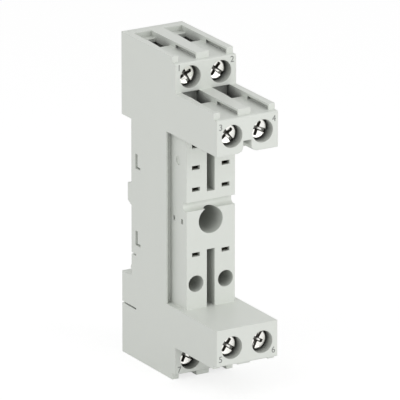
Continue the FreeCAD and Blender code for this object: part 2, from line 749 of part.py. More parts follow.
def make_cage(label, tier, side):
    """Clamp cage of one terminal, open as delivered."""
    body = new_body(label)
    middle = "%d*screw_spacing/2" % side
    front = "-(%s-%s)" % (tier["face"], CAGE_START)
    back = "-(%s-%s)" % (tier["face"], CAGE_END)
    loop = new_sketch(body, "loop", "XY_Plane", tier["screw"])
    half = "cage_width/2"
    bend = "cage_round"
    outline(loop, [
        (middle + "-" + half + "+" + bend, front),
        (middle + "+" + half + "-" + bend, front),
        (middle + "+" + half, front + "+" + bend),
        (middle + "+" + half, back + "-" + bend),
        (middle + "+" + half + "-" + bend, back),
        (middle + "-" + half + "+" + bend, back),
        (middle + "-" + half, back + "-" + bend),
        (middle + "-" + half, front + "+" + bend),
    ])
    rectangle(
        loop, middle + "-" + half + "+cage_wall", middle + "+" + half + "-cage_wall",
        front + "+cage_nut", back + "-cage_back",
    )
    pad(body, "band", loop, "cage_height", symmetric=True)
    bore = new_sketch(body, "nut_bore", "XZ_Plane", "%s-%s" % (tier["face"], CAGE_START))
    circle(bore, middle, tier["screw"], "(shank_width+2*thread_play)")
    pocket(body, "nut", bore, "cage_nut")
    return body


# Terminal screws: turned, with a slot across a cross recess

def make_screw(label, tier, side, turn):
    """Terminal screw, drawn along its own axis and set in place by its Placement."""
    body = new_body(label)
    section = new_sketch(body, "section", "YZ_Plane")
    tip = "tongue_depth-head_depth-tip_play"
    outline(section, [
        ("0", "0"),
        ("0", "head_width/2-head_edge"),
        ("head_edge", "head_width/2"),
        ("head_height", "head_width/2"),
        ("head_height", "shank_width/2"),
        (tip + "-head_edge", "shank_width/2"),
        (tip, "shank_width/2-head_edge"),
        (tip, "0"),
    ])
    turned = body.newObject("PartDesign::Revolution", "turned")
    turned.Profile = section
    turned.ReferenceAxis = (section, ["H_Axis"])
    turned.Angle = 360
    slot = new_sketch(body, "slot", "XZ_Plane")
    rectangle(slot, "-head_width/2", "head_width/2", "-drive_slot/2", "drive_slot/2")
    pocket(body, "driver_slot", slot, "drive_depth")
    cross = new_sketch(body, "cross", "XZ_Plane")
    reach = "cross_reach/2"
    half = "drive_slot/2"
    outline(cross, [
        ("-" + reach, "-" + half), ("-" + half, "-" + half), ("-" + half, "-" + reach),
        (half, "-" + reach), (half, "-" + half), (reach, "-" + half),
        (reach, half), (half, half), (half, reach),
        ("-" + half, reach), ("-" + half, half), ("-" + reach, half),
    ])
    pocket(body, "driver_cross", cross, "cross_depth")
    body.Placement.Rotation = FreeCAD.Rotation(FreeCAD.Vector(0, 1, 0), turn)
    body.setExpression("Placement.Base.x", size("%d*screw_spacing/2" % side))
    body.setExpression("Placement.Base.y", size("-%s+head_depth" % tier["face"]))
    body.setExpression("Placement.Base.z", size(tier["screw"]))
    return body


nodes = [make_housing(), make_rear_cover()]
for key, tier in TIERS.items():
    for side_name, side in SIDES.items():
        place = "%s_%s" % (key, side_name)
        nodes.append(make_strip("contact_strip_" + place, tier, side))
        nodes.append(make_cage("clamp_cage_" + place, tier, side))
        nodes.append(make_screw("terminal_screw_" + place, tier, side, SCREW_TURNS[place]))
for node in nodes:
    node.Tip.Refine = True
doc.recompute()

# Checks before anything is written
for thing in doc.Objects:
    if "Invalid" in thing.State or "Error" in thing.State:
        raise RuntimeError("%s is %s" % (thing.Label, thing.State))
    if thing.TypeId == "PartDesign::Pocket" and thing.Shape.Volume >= thing.BaseFeature.Shape.Volume:
        raise RuntimeError("%s cuts nothing" % thing.Label)
for node in nodes:
    if node.Shape.isNull() or not node.Shape.isValid():
        raise RuntimeError("%s has no valid shape" % node.Label)
    if len(node.Shape.Solids) != 1:
        raise RuntimeError("%s has %d solids" % (node.Label, len(node.Shape.Solids)))

os.makedirs("parts", exist_ok=True)
for node in nodes:
    node.Shape.exportStep(os.path.join("parts", node.Label + ".step"))
    print("%-30s %9.2f mm3" % (node.Label, node.Shape.Volume))
print(len(nodes), "nodes")
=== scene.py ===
import math

import bpy
import numpy as np
from mathutils import Matrix, Vector


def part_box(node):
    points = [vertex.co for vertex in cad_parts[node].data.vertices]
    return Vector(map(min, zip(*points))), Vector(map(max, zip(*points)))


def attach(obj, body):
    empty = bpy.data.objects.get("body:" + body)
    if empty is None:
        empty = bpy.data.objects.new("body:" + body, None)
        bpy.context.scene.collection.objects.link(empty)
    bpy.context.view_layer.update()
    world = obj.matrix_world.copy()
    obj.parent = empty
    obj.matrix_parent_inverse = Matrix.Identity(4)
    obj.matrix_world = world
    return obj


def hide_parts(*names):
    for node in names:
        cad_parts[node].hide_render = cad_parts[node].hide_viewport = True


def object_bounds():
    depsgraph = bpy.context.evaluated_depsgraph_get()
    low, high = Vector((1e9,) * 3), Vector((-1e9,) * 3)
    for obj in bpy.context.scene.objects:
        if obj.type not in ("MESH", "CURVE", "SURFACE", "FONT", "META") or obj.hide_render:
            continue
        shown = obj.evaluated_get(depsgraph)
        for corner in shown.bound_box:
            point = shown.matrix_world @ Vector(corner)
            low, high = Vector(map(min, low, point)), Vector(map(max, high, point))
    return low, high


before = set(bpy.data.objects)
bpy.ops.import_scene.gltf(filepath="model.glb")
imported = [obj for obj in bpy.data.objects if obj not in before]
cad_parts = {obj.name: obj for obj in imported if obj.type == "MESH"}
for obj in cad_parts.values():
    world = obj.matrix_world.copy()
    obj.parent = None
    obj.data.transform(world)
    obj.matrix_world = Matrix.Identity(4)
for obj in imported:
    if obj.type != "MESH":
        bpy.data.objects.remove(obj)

bl_info = {
    "name": "Relay socket finish",
    "version": (1, 0, 0),
    "blender": (4, 5, 0),
    "location": "3D View > Sidebar > Relay Socket",
    "description": "Screws, numbers, plastics, metals and studio for a rail-mounted relay socket",
    "category": "Object",
}

MM = 0.001

# Openness at which a recess is darkest, and at which it keeps its colour
DEEP = 0.13
OPEN = 0.45
# What is left of the colour in the darkest recess: in the tiers, and in the relay block, whose
# recesses face the light
TIER_DARKEST = 0.06
BLOCK_DARKEST = 0.64

# Lean of the rounded normal, as one less its cosine, at which the painted edge highlight starts and is
# full
EDGE_STARTS = 0.04
EDGE_FULL = 0.25

# Rays from each point that look for near walls and for near edges
WALL_RAYS = 8
EDGE_RAYS = 6

# Middle of a noise texture's values, and what each unit above it adds to a surface's roughness
NOISE_MIDDLE = 0.5
CLOUD_ROUGHNESS = 0.18

# Added to the nickel's roughness where the grime and painted shade cover it
GRIME_AND_SHADE_ROUGHNESS = 0.6
# Slope at which the grime and painted shade start on a screw's face, and how much steeper it is where
# they are full
GRIME_AND_SHADE_SLOPE = 0.9
GRIME_AND_SHADE_SLOPE_MORE = 1.5
# Grime and painted shade at the cross's centre, and the share of the cross's depth below which they
# start
CENTRE_GRIME_AND_SHADE = 0.8
CENTRE_START = 0.8
# Share of the rim's rounding that still counts as the face, and share of the painted shadow band
# round the rim by which it is full
RIM_SHARE = 0.6
BAND_SHARE = 0.25

# Floor of a wing of the cross at its tip, and its rise towards the centre, as shares of the depth
WING_TIP = 0.45
WING_RISE = 0.8
# Widths over which the cross's sides and tips fall, in recess walls
FLANK_WALLS = 1.6
TIP_WALLS = 2.5

# Points round a screw, rings on its face and on its rim, and rings for each turn of the thread
SCREW_POINTS = 192
FACE_RINGS = 46
RIM_RINGS = 7
TURN_RINGS = 7
# First ring of the face, as a share of the face's radius
FIRST_RING = 0.02
# Rings down the head's side, as shares of its height, and in on its back, as shares of the way
# from the thread out to the side
SIDE_RINGS = (0.95, 1.0)
BACK_RINGS = (0.8, 0.3, 0.0)
# Shank past the thread's last ring
PLAIN_END = 0.3 * MM

# Tier's face to its screw heads, as part.py sets them back
HEAD_SET_BACK = 2.3 * MM

# Steps of each curve in the printed type
TYPE_STEPS = 6

# Picture's width in pixels, the camera's sensor in millimetres, and the nearest and farthest
# that it sees in metres
IMAGE_PIXELS = 400
SENSOR_WIDTH = 36.0
NEAREST_SEEN = 0.05
FARTHEST_SEEN = 50.0

# Azimuth and elevation in degrees, distance from the socket and width in metres
FRONT_LAMP = (24.0, 14.0, 0.7, 0.5)
SIDE_LAMP = (-75.0, 38.0, 0.35, 0.3)

# Half the floor's side in metres, its grey for the light, and its grey where it is seen
FLOOR_HALF = 4.0
FLOOR_PAPER = 0.9
FLOOR_SEEN = 0.42

WHITE = (1.0, 1.0, 1.0, 1.0)

# Turn of each screw about its axis, as it was left, in degrees, by tier and side
SCREW_TURNS = {
    "com_left": 62, "com_right": 38, "no_left": 52, "no_right": 24,
    "coil_left": 35, "coil_right": 118, "nc_left": 28, "nc_right": 75,
}

CAD_BOUNDS = [list(corner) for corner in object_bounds()]


# Sizes and colours that a user would change

def colour_property(name, colour, about):
    """Colour with its own picker."""
    return bpy.props.FloatVectorProperty(
        name=name, subtype="COLOR", size=4, min=0.0, max=1.0, default=colour, description=about
    )


def length_property(name, millimetres, about):
    """Length kept in metres and shown in the scene's unit."""
    return bpy.props.FloatProperty(
        name=name, subtype="DISTANCE", unit="LENGTH", precision=6, default=millimetres * MM,
        description=about,
    )


class SocketFinish(bpy.types.PropertyGroup):
    """Colours and surface sizes of the socket's materials."""

    housing_colour: colour_property("Housing", (0.72, 0.745, 0.70, 1.0), "Front moulding")
    cover_colour: colour_property("Rear cover", (0.70, 0.725, 0.68, 1.0), "Rear moulding")
    # Painted shade: the strips are darker than dull tin, for the shade of the slots they sit in
    contact_colour: colour_property("Contacts", (0.30, 0.28, 0.24, 1.0), "Dull tinned contact strips")
    # Painted shade: the cages are darker than their zinc plating, for the shade of the deep wire holes
    clamp_colour: colour_property("Clamps", (0.20, 0.20, 0.19, 1.0), "Dark zinc-plated clamp cages")
    screw_colour: colour_property("Screws", (0.94, 0.93, 0.89, 1.0), "Nickel-plated screws")
    # Painted shade with grime: dark colour of the screws' recess walls, rim band, head side and thread
    grime_colour: colour_property("Grime", (0.035, 0.030, 0.022, 1.0), "Oil and dust in the recess")
    number_colour: colour_property("Numbers", (0.20, 0.205, 0.20, 1.0), "Printed terminal numbers")
    grain: length_property("Grain", 0.22, "Size of the fine grain on the moulded plastic")
    edge_round: length_property("Edge rounding", 0.2, "Soft edge that a mould leaves on the plastic")
    # Painted highlight: how much the colour is lightened along the edges
    edge_light: bpy.props.FloatProperty(
        name="Edge light", default=0.30, min=0.0, description="How much lighter polished edges are"
    )
    shade_reach: length_property("Recess shade reach", 9.0, "How near walls must be to darken a recess")
    shade_near: length_property("Recess shade near", 1.2, "Walls nearer than this don't count")
    block_end: length_property("Block end", 20.3, "Half height of the relay block")


class ScrewSizes(bpy.types.PropertyGroup):
    """Sizes of a terminal screw that its solid leaves out."""

    head_round: length_property("Head rounding", 0.40, "Rounding of the head's rim")
    head_dish: length_property("Head dish", 0.16, "Hollow of the head's face")
    # Painted shadow: dark band round the head's rim, for the shade of the gap between head and bore
    rim_grime: length_property("Rim grime", 0.30, "Dark band round the head's rim")
    slot_width: length_property("Slot width", 0.95, "Straight slot across the head")
    slot_depth: length_property("Slot depth", 0.7, "Straight slot across the head")
    cross_width: length_property("Cross width", 0.88, "Each wing of the cross recess")
    cross_reach: length_property("Cross reach", 1.75, "Centre of the head to the tip of a wing")
    cross_depth: length_property("Cross depth", 1.25, "Cross recess at the centre")
    wall: length_property("Recess wall", 0.15, "Width over which a recess wall falls")
    head_height: length_property("Head height", 2.1, "Head, along the axis")
    shank_radius: length_property("Thread radius", 1.5, "Crest of the thread")
    pitch: length_property("Thread pitch", 0.5, "Crest to crest along the axis")
    thread_depth: length_property("Thread depth", 0.27, "Crest to root")


class NumberSizes(bpy.types.PropertyGroup):
    """Terminal numbers printed beside the screws."""

    height: length_property("Height", 2.0, "Height of the type")
    relief: length_property("Relief", 0.02, "How far the ink stands off the face")
    aside: length_property("Aside", 2.85, "Screw axis to the middle of its number, across")
    above: length_property("Above", 2.35, "Screw axis to the middle of its number, up")


class StudioSettings(bpy.types.PropertyGroup):
    """Camera, lamps and floor."""

    azimuth: bpy.props.FloatProperty(
        name="Azimuth", subtype="ANGLE", default=math.radians(-30.46),
        description="Camera round the socket",
    )
    elevation: bpy.props.FloatProperty(
        name="Elevation", subtype="ANGLE", default=math.radians(18.21),
        description="Camera above the horizon",
    )
    distance: length_property("Distance", 1767.0, "Camera to what it looks at")
    focal_pixels: bpy.props.FloatProperty(
        name="Focal length", default=8050.5, description="Focal length in pixels of the picture"
    )
    target: bpy.props.FloatVectorProperty(
        name="Target", subtype="TRANSLATION", size=3, precision=6,
        default=(0.77 * MM, -15.44 * MM, 2.34 * MM), description="Point that the camera looks at",
    )
    sky: bpy.props.FloatProperty(name="Sky", default=0.62, min=0.0, description="Light from all round")
    front_power: bpy.props.FloatProperty(name="Front lamp", default=1.65, min=0.0, description="Watts")
    side_power: bpy.props.FloatProperty(name="Side lamp", default=0.25, min=0.0, description="Watts")
    floor_glow: bpy.props.FloatProperty(
        name="Floor glow", default=0.70, min=0.0, description="Evenly white part of the floor's look"
    )


# Shader nodes

def add_socket(tree, name, way, kind, default=None):
    """Named input or output of a node group."""
    socket = tree.interface.new_socket(name=name, in_out=way, socket_type=kind)
    if default is not None:
        socket.default_value = default
    return socket


def new_node(tree, kind, **inputs):
    """Shader node, with values set on its inputs by name."""
    node = tree.nodes.new(kind)
    for name, value in inputs.items():
        node.inputs[name.replace("_", " ")].default_value = value
    return node


def feed(tree, socket, value):
    """Join another node's output to a socket, or set a plain value on it."""
    if isinstance(value, bpy.types.NodeSocket):
        tree.links.new(value, socket)
    else:
        socket.default_value = value


def worked_out(tree, operation, *values):
    """Output of a Math node, whose inputs are numbers or other nodes' outputs."""
    node = tree.nodes.new("ShaderNodeMath")
    node.operation = operation
    for socket, value in zip(node.inputs, values):
        feed(tree, socket, value)
    return node.outputs["Value"]


def scaled(tree, colour, factor):
    """Output of a node that multiplies a colour by a factor."""
    node = tree.nodes.new("ShaderNodeVectorMath")
    node.operation = "SCALE"
    tree.links.new(colour, node.inputs[0])
    tree.links.new(factor, node.inputs["Scale"])
    return node.outputs["Vector"]


def ranged(tree, value, low, high, at_low, at_high, kind="LINEAR"):
    """Output that goes from one level to another while the value goes from low to high."""
    node = tree.nodes.new("ShaderNodeMapRange")
    node.interpolation_type = kind
    names = ("Value", "From Min", "From Max", "To Min", "To Max")
    for name, item in zip(names, (value, low, high, at_low, at_high)):
        feed(tree, node.inputs[name], item)
    return node.outputs["Result"]


def replace_source(tree, socket, change, *values):
    """Put a change between a socket and the output that feeds it."""
    tree.links.new(change(tree, socket.links[0].from_socket, *values), socket)


def grain_group():
    """Fine grain with a slow cloud of shade.

    The colour is multiplied by one plus the spread times slow noise about its middle, the
    roughness follows the same noise, and the height is fine noise at the grain's size.
    """
    name = "Moulded grain"
    if name in bpy.data.node_groups:
        return bpy.data.node_groups[name]
    tree = bpy.data.node_groups.new(name, "ShaderNodeTree")
    add_socket(tree, "Colour", "INPUT", "NodeSocketColor", (0.8, 0.8, 0.8, 1.0))
    add_socket(tree, "Spread", "INPUT", "NodeSocketFloat", 0.04)
    add_socket(tree, "Roughness", "INPUT", "NodeSocketFloat", 0.5)
    add_socket(tree, "Grains per metre", "INPUT", "NodeSocketFloat", 4500.0)
    add_socket(tree, "Colour", "OUTPUT", "NodeSocketColor")
    add_socket(tree, "Roughness", "OUTPUT", "NodeSocketFloat")
    add_socket(tree, "Height", "OUTPUT", "NodeSocketFloat")
    start = tree.nodes.new("NodeGroupInput").outputs
    end = tree.nodes.new("NodeGroupOutput").inputs
    place = tree.nodes.new("ShaderNodeTexCoord").outputs["Object"]
    link = tree.links.new

    cloud = new_node(tree, "ShaderNodeTexNoise", Scale=90.0, Detail=3.0, Roughness=0.55)
    fine = new_node(tree, "ShaderNodeTexNoise", Detail=4.0, Roughness=0.6)
    link(place, cloud.inputs["Vector"])
    link(place, fine.inputs["Vector"])
    link(start["Grains per metre"], fine.inputs["Scale"])

    centred = worked_out(tree, "SUBTRACT", cloud.outputs["Fac"], NOISE_MIDDLE)
    shade = worked_out(tree, "MULTIPLY_ADD", centred, start["Spread"], 1.0)
    rough = worked_out(tree, "MULTIPLY_ADD", centred, CLOUD_ROUGHNESS, start["Roughness"])
    link(scaled(tree, start["Colour"], shade), end["Colour"])
    link(rough, end["Roughness"])
    link(fine.outputs["Fac"], end["Height"])
    return tree


def surface_material(name, colour, spread, roughness, grains, bump, **shader_values):
    """Material with the shared grain, and a bump of the given height in metres.

    Returns the material, its node tree, its Principled BSDF and its Bump node.
    """
    material = bpy.data.materials.new(name)
    material.use_nodes = True
    tree = material.node_tree
    shader = tree.nodes["Principled BSDF"]
    for key, value in shader_values.items():
        shader.inputs[key.replace("_", " ")].default_value = value
    grain = tree.nodes.new("ShaderNodeGroup")
    grain.node_tree = grain_group()
    grain.inputs["Colour"].default_value = colour
    grain.inputs["Spread"].default_value = spread
    grain.inputs["Roughness"].default_value = roughness
    grain.inputs["Grains per metre"].default_value = grains
    relief = new_node(tree, "ShaderNodeBump", Distance=bump)
    tree.links.new(grain.outputs["Height"], relief.inputs["Height"])
    tree.links.new(grain.outputs["Colour"], shader.inputs["Base Color"])
    tree.links.new(grain.outputs["Roughness"], shader.inputs["Roughness"])
    tree.links.new(relief.outputs["Normal"], shader.inputs["Normal"])
    return material, tree, shader, relief


def open_share(tree, distance):
    """Share of the sky that the piece's own walls leave open within a distance."""
    closeness = new_node(tree, "ShaderNodeAmbientOcclusion", Distance=distance)
    closeness.samples = WALL_RAYS
    closeness.only_local = True
    return closeness.outputs["AO"]


def shade_recesses(tree, colour, finish):
    """Darken a colour where walls close in on a place that is wide enough to look into.

    The measure counts the walls of the piece itself, and nothing beside it or below it. It is the
    open share of the sky within reach over the square root of the open share within near, so a
    shallow slit or corner, which both find closed, keeps its colour. The colour is multiplied by
    a smooth step of the measure, from the darkest level at DEEP to 1 at OPEN. The darkest level
    goes from the block's to the tiers' within a millimetre of the block's end.
    """
    root = worked_out(tree, "SQRT", open_share(tree, finish.shade_near))
    measure = worked_out(tree, "DIVIDE", open_share(tree, finish.shade_reach), root)
    split = tree.nodes.new("ShaderNodeSeparateXYZ")
    tree.links.new(tree.nodes.new("ShaderNodeTexCoord").outputs["Object"], split.inputs["Vector"])
    height = worked_out(tree, "ABSOLUTE", split.outputs["Z"])
    block_end = finish.block_end
    darkest = ranged(tree, height, block_end, block_end + MM, BLOCK_DARKEST, TIER_DARKEST)
    return scaled(tree, colour, ranged(tree, measure, DEEP, OPEN, darkest, 1.0, "SMOOTHSTEP"))


def light_edges(tree, colour, rounded, gain):
    """Lighten a colour along edges as a painted highlight, where rounded edges would catch the light.

    The colour is multiplied by one plus the gain times a smooth step of how far the rounded
    normal leans from the face's own: one less the cosine of the angle between them.
    """
    face = tree.nodes.new("ShaderNodeNewGeometry")
    cosine = tree.nodes.new("ShaderNodeVectorMath")
    cosine.operation = "DOT_PRODUCT"
    tree.links.new(rounded, cosine.inputs[0])
    tree.links.new(face.outputs["True Normal"], cosine.inputs[1])
    level = ranged(
        tree, cosine.outputs["Value"], 1.0 - EDGE_STARTS, 1.0 - EDGE_FULL, 1.0, 1.0 + gain, "SMOOTHSTEP"
    )
    return scaled(tree, colour, level)


def moulded_plastic(name, colour, finish):
    """Pale polyamide with soft moulded edges, a fine grain, a faint sheen, a painted highlight along
    its edges and painted shade in its recesses.
    """
    material, tree, shader, relief = surface_material(
        name, colour, spread=0.05, roughness=0.42, grains=1.0 / finish.grain, bump=0.012 * MM, IOR=1.5
    )
    edge = new_node(tree, "ShaderNodeBevel", Radius=finish.edge_round)
    edge.samples = EDGE_RAYS
    rounded = edge.outputs["Normal"]
    tree.links.new(rounded, relief.inputs["Normal"])
    # Painted highlight along the edges, then painted shade in the recesses
    replace_source(tree, shader.inputs["Base Color"], light_edges, rounded, finish.edge_light)
    replace_source(tree, shader.inputs["Base Color"], shade_recesses, finish)
    return material


def plated_metal(name, colour, roughness, grains):
    """Plated steel or tinned brass with fine uneven brightness."""
    return surface_material(
        name, colour, spread=0.12, roughness=roughness, grains=grains, bump=0.006 * MM, Metallic=1.0
    )[0]


def screw_metal(name, finish):
    """Bright nickel, with grime and painted shade where the mesh's attribute for them is 1."""
    material, tree, shader, _ = surface_material(
        name, finish.screw_colour, spread=0.12, roughness=0.2, grains=7000.0, bump=0.006 * MM
    )
    attribute = tree.nodes.new("ShaderNodeAttribute")
    attribute.attribute_name = "grime"
    mask = attribute.outputs["Fac"]

    # Painted shade with grime: the colour goes from bright nickel to the dark colour where the mask is
    # 1
    def soiled(tree, bright):
        """Colour from bright metal to grime and painted shade."""
        mix = tree.nodes.new("ShaderNodeMix")
        mix.data_type = "RGBA"
        ends = {socket.identifier: socket for socket in mix.inputs}
        tree.links.new(mask, ends["Factor_Float"])
        tree.links.new(bright, ends["A_Color"])
        ends["B_Color"].default_value = finish.grime_colour
        return {socket.identifier: socket for socket in mix.outputs}["Result_Color"]

    def roughened(tree, smooth):
        """Roughness with that of the grime and painted shade added."""
        return worked_out(tree, "MULTIPLY_ADD", mask, GRIME_AND_SHADE_ROUGHNESS, smooth)

    replace_source(tree, shader.inputs["Base Color"], soiled)
    replace_source(tree, shader.inputs["Roughness"], roughened)
    tree.links.new(worked_out(tree, "SUBTRACT", 1.0, mask), shader.inputs["Metallic"])
    return material


def plain_ink(name, colour):
    """Matt grey print."""
    return surface_material(
        name, colour, spread=0.25, roughness=0.7, grains=9000.0, bump=0.002 * MM
    )[0]


def dress(node, material):
    """Give a CAD node one material."""
    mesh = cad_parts[node].data
    mesh.materials.clear()
    mesh.materials.append(material)


def own_material(name, make, *values, **named):
    """Material by name, made the first time it is asked for."""
    return bpy.data.materials.get(name) or make(name, *values, **named)


# Surfaces

def ring_mesh(name, rings):
    """Closed surface through rings of points about +Y, with a fan of triangles at each end.

    rings has the shape (number of rings, points round a ring, 3). Quads join each ring to the
    next, and each ring closes on itself. A fan meets at the axis, level with its ring's first
    point.
    """
    count, around, _ = rings.shape
    ends = [[0.0, rings[0, 0, 1], 0.0], [0.0, rings[-1, 0, 1], 0.0]]
    points = np.vstack([rings.reshape(-1, 3), ends])
    step = np.arange(around)
    after = (step + 1) % around
    row = (np.arange(count - 1) * around)[:, None]
    quads = np.stack([row + step, row + after, row + around + after, row + around + step], axis=-1)
    tip = np.full(around, count * around)
    last = (count - 1) * around
    cap_start = np.stack([tip, after, step], axis=-1)
    cap_end = np.stack([tip + 1, last + step, last + after], axis=-1)
    mesh = bpy.data.meshes.new(name)
    faces = quads.reshape(-1, 4).tolist() + cap_start.tolist() + cap_end.tolist()
    mesh.from_pydata(points.tolist(), [], faces)
    mesh.update()
    mesh.shade_smooth()
    return mesh


def fall(inside, wall):
    """1 well inside an edge, 0 outside it, and a smooth step of the wall's width between.

    With t as the distance inside over the wall's width, held between 0 and 1, it is 3t² - 2t³.
    """
    t = np.clip(inside / wall, 0.0, 1.0)
    return t * t * (3.0 - 2.0 * t)


def recess_depth(across, up, sizes):
    """Depth of the driver recess below the head's face, at each point.

    The slot runs straight across the head at one depth. The cross has two pairs of wings, whose
    floor falls in a straight line from the tip of a wing towards the centre, and is flat from
    where it meets the cross's full depth. The depth is the deeper of the two.
    """
    slot = sizes.slot_depth * fall(sizes.slot_width / 2 - np.abs(up), sizes.wall)
    reach = np.hypot(across, up)
    inward = 1.0 - reach / sizes.cross_reach
    floor = sizes.cross_depth * np.clip(WING_TIP + WING_RISE * inward, 0.0, 1.0)
    wing = np.minimum(np.abs(across), np.abs(up))
    flank = fall(sizes.cross_width / 2 - wing, FLANK_WALLS * sizes.wall)
    tip = fall(sizes.cross_reach - reach, TIP_WALLS * sizes.wall)
    return np.maximum(slot, floor * flank * tip)


def screw_rings(sizes, radius, length):
    """Rings of a terminal screw along +Y, with its head's face at y = 0.

    The head's face is the recess depth over a disc, or where that is more its dish, whose depth
    is one less the square of the share of the radius. Its rim is a quarter circle, cut by the
    slot. The shank's radius is the crest less the thread's depth times a triangle wave of the
    distance along the axis in pitches less the turn, which makes one right-hand helix, and the
    thread fades out over a pitch at each end.
    """
    turn = np.linspace(0.0, 2 * math.pi, SCREW_POINTS, endpoint=False)
    curve = sizes.head_round
    flat = radius - curve
    crest = sizes.shank_radius
    thread_start = sizes.head_height
    rings = []

    def add_ring(ring_radius, depth):
        """Ring at a radius and a depth, each one number or one for each point."""
        rings.append((np.full(SCREW_POINTS, ring_radius), np.full(SCREW_POINTS, depth)))

    for ring_radius in np.linspace(FIRST_RING, 1.0, FACE_RINGS) * flat:
        dish = sizes.head_dish * (1.0 - (ring_radius / flat) ** 2)
        recess = recess_depth(ring_radius * np.cos(turn), ring_radius * np.sin(turn), sizes)
        add_ring(ring_radius, np.maximum(dish, recess))
    for lean in np.linspace(0.0, math.pi / 2, RIM_RINGS + 1)[1:]:
        ring_radius = flat + curve * math.sin(lean)
        beside = sizes.slot_width / 2 - np.abs(ring_radius * np.sin(turn))
        notch = sizes.slot_depth * fall(beside, sizes.wall)
        add_ring(ring_radius, np.maximum(curve * (1 - math.cos(lean)), notch))
    for share in SIDE_RINGS:
        add_ring(radius, sizes.head_height * share)
    for share in BACK_RINGS:
        add_ring(crest + (radius - crest) * share, sizes.head_height)
    thread_rings = int((length - thread_start) / sizes.pitch * TURN_RINGS)
    for along in np.linspace(thread_start, length - PLAIN_END, thread_rings):
        phase = (along / sizes.pitch - turn / (2 * math.pi)) % 1.0
        wave = 1.0 - np.abs(2.0 * phase - 1.0)
        fade = min(1.0, (along - thread_start) / sizes.pitch, (length - along) / sizes.pitch)
        add_ring(crest - sizes.thread_depth * wave * fade, along)
    add_ring(crest - sizes.thread_depth, length)
    radii, depths = np.stack(rings, axis=1)
    return np.stack([radii * np.cos(turn), depths, radii * np.sin(turn)], axis=-1)


def grime_of(rings, sizes, radius):
    """Grime and painted shade at each point of a screw: 1 on the recess walls and past the rim, 0 on
    its face.

    On the face it is a smooth step of how steeply the surface falls, outwards and round the ring
    together, or of the depth at the cross's centre where that is more: painted shade in the recess,
    with grime. A band just inside the rim has painted shadow, as a smooth step of the radius. From
    the rim on it is 1: painted shade on the head's side and the thread, which sit in the bore.
    """
    reach = np.hypot(rings[..., 0], rings[..., 2])
    depth = rings[..., 1]
    drop = np.diff(depth, axis=0, append=depth[-1:])
    run = np.diff(reach, axis=0, append=reach[-1:])
    outward = drop / np.maximum(run, 0.001 * MM)
    arc = 2 * math.pi * reach / rings.shape[1]
    sideways = (np.roll(depth, -1, axis=1) - depth) / arc
    steep = fall(np.hypot(outward, sideways) - GRIME_AND_SHADE_SLOPE, GRIME_AND_SHADE_SLOPE_MORE)
    below = depth - CENTRE_START * sizes.cross_depth
    centre = CENTRE_GRIME_AND_SHADE * fall(below, (1.0 - CENTRE_START) * sizes.cross_depth)
    # Painted shadow band just inside the rim
    band = fall(reach - radius + sizes.rim_grime, BAND_SHARE * sizes.rim_grime)
    inner = reach[:, 0] < radius - RIM_SHARE * sizes.head_round
    face = (np.arange(len(depth)) < np.argmin(inner))[:, None]
    return np.maximum(band, np.where(face, np.maximum(steep, centre), 1.0))


def place_piece(name, mesh, body, material):
    """Object for a finished mesh, which rides on a body and takes the given material."""
    piece = bpy.data.objects.new(name, mesh)
    bpy.context.collection.objects.link(piece)
    mesh.materials.clear()
    mesh.materials.append(material)
    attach(piece, body)
    return piece


def screw_place(place):
    """Middle of a screw's head face, its radius and its length, from the CAD node."""
    low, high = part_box("terminal_screw_" + place)
    middle = Vector(((low[0] + high[0]) / 2, low[1], (low[2] + high[2]) / 2))
    return middle, (high[0] - low[0]) / 2, high[1] - low[1]


def number_mesh(text, sizes, centre):
    """Flat type that faces the front, with its middle at a point on the face."""
    curve = bpy.data.curves.new("number_type", "FONT")
    curve.body = text
    curve.size = sizes.height
    curve.align_x = "CENTER"
    curve.align_y = "CENTER"
    curve.extrude = sizes.relief
    curve.resolution_u = TYPE_STEPS
    typed = bpy.data.objects.new("number_type", curve)
    bpy.context.collection.objects.link(typed)
    shown = typed.evaluated_get(bpy.context.evaluated_depsgraph_get())
    mesh = bpy.data.meshes.new_from_object(shown)
    bpy.data.objects.remove(typed)
    mesh.transform(Matrix.Translation(centre) @ Matrix.Rotation(math.pi / 2, 4, "X"))
    return mesh


# Operators

class SOCKET_OT_mouldings(bpy.types.Operator):
    """Give the housing and the rear cover their moulded plastic"""

    bl_idname = "socket.mouldings"
    bl_label = "Mouldings"

    def execute(self, context):
        finish = context.scene.socket_finish
        housing = own_material("Housing plastic", moulded_plastic, finish.housing_colour, finish)
        cover = own_material("Cover plastic", moulded_plastic, finish.cover_colour, finish)
        dress("housing", housing)
        dress("rear_cover", cover)
        return {"FINISHED"}


class SOCKET_OT_contacts(bpy.types.Operator):
    """Give the contact strips and the clamp cages their plating"""

    bl_idname = "socket.contacts"
    bl_label = "Contacts and clamps"

    def execute(self, context):
        finish = context.scene.socket_finish
        tin = own_material(
            "Tinned strip", plated_metal, finish.contact_colour, roughness=0.38, grains=3000.0
        )
        zinc = own_material(
            "Zinc cage", plated_metal, finish.clamp_colour, roughness=0.45, grains=5000.0
        )
        for place in SCREW_TURNS:
            dress("contact_strip_" + place, tin)
            dress("clamp_cage_" + place, zinc)
        return {"FINISHED"}


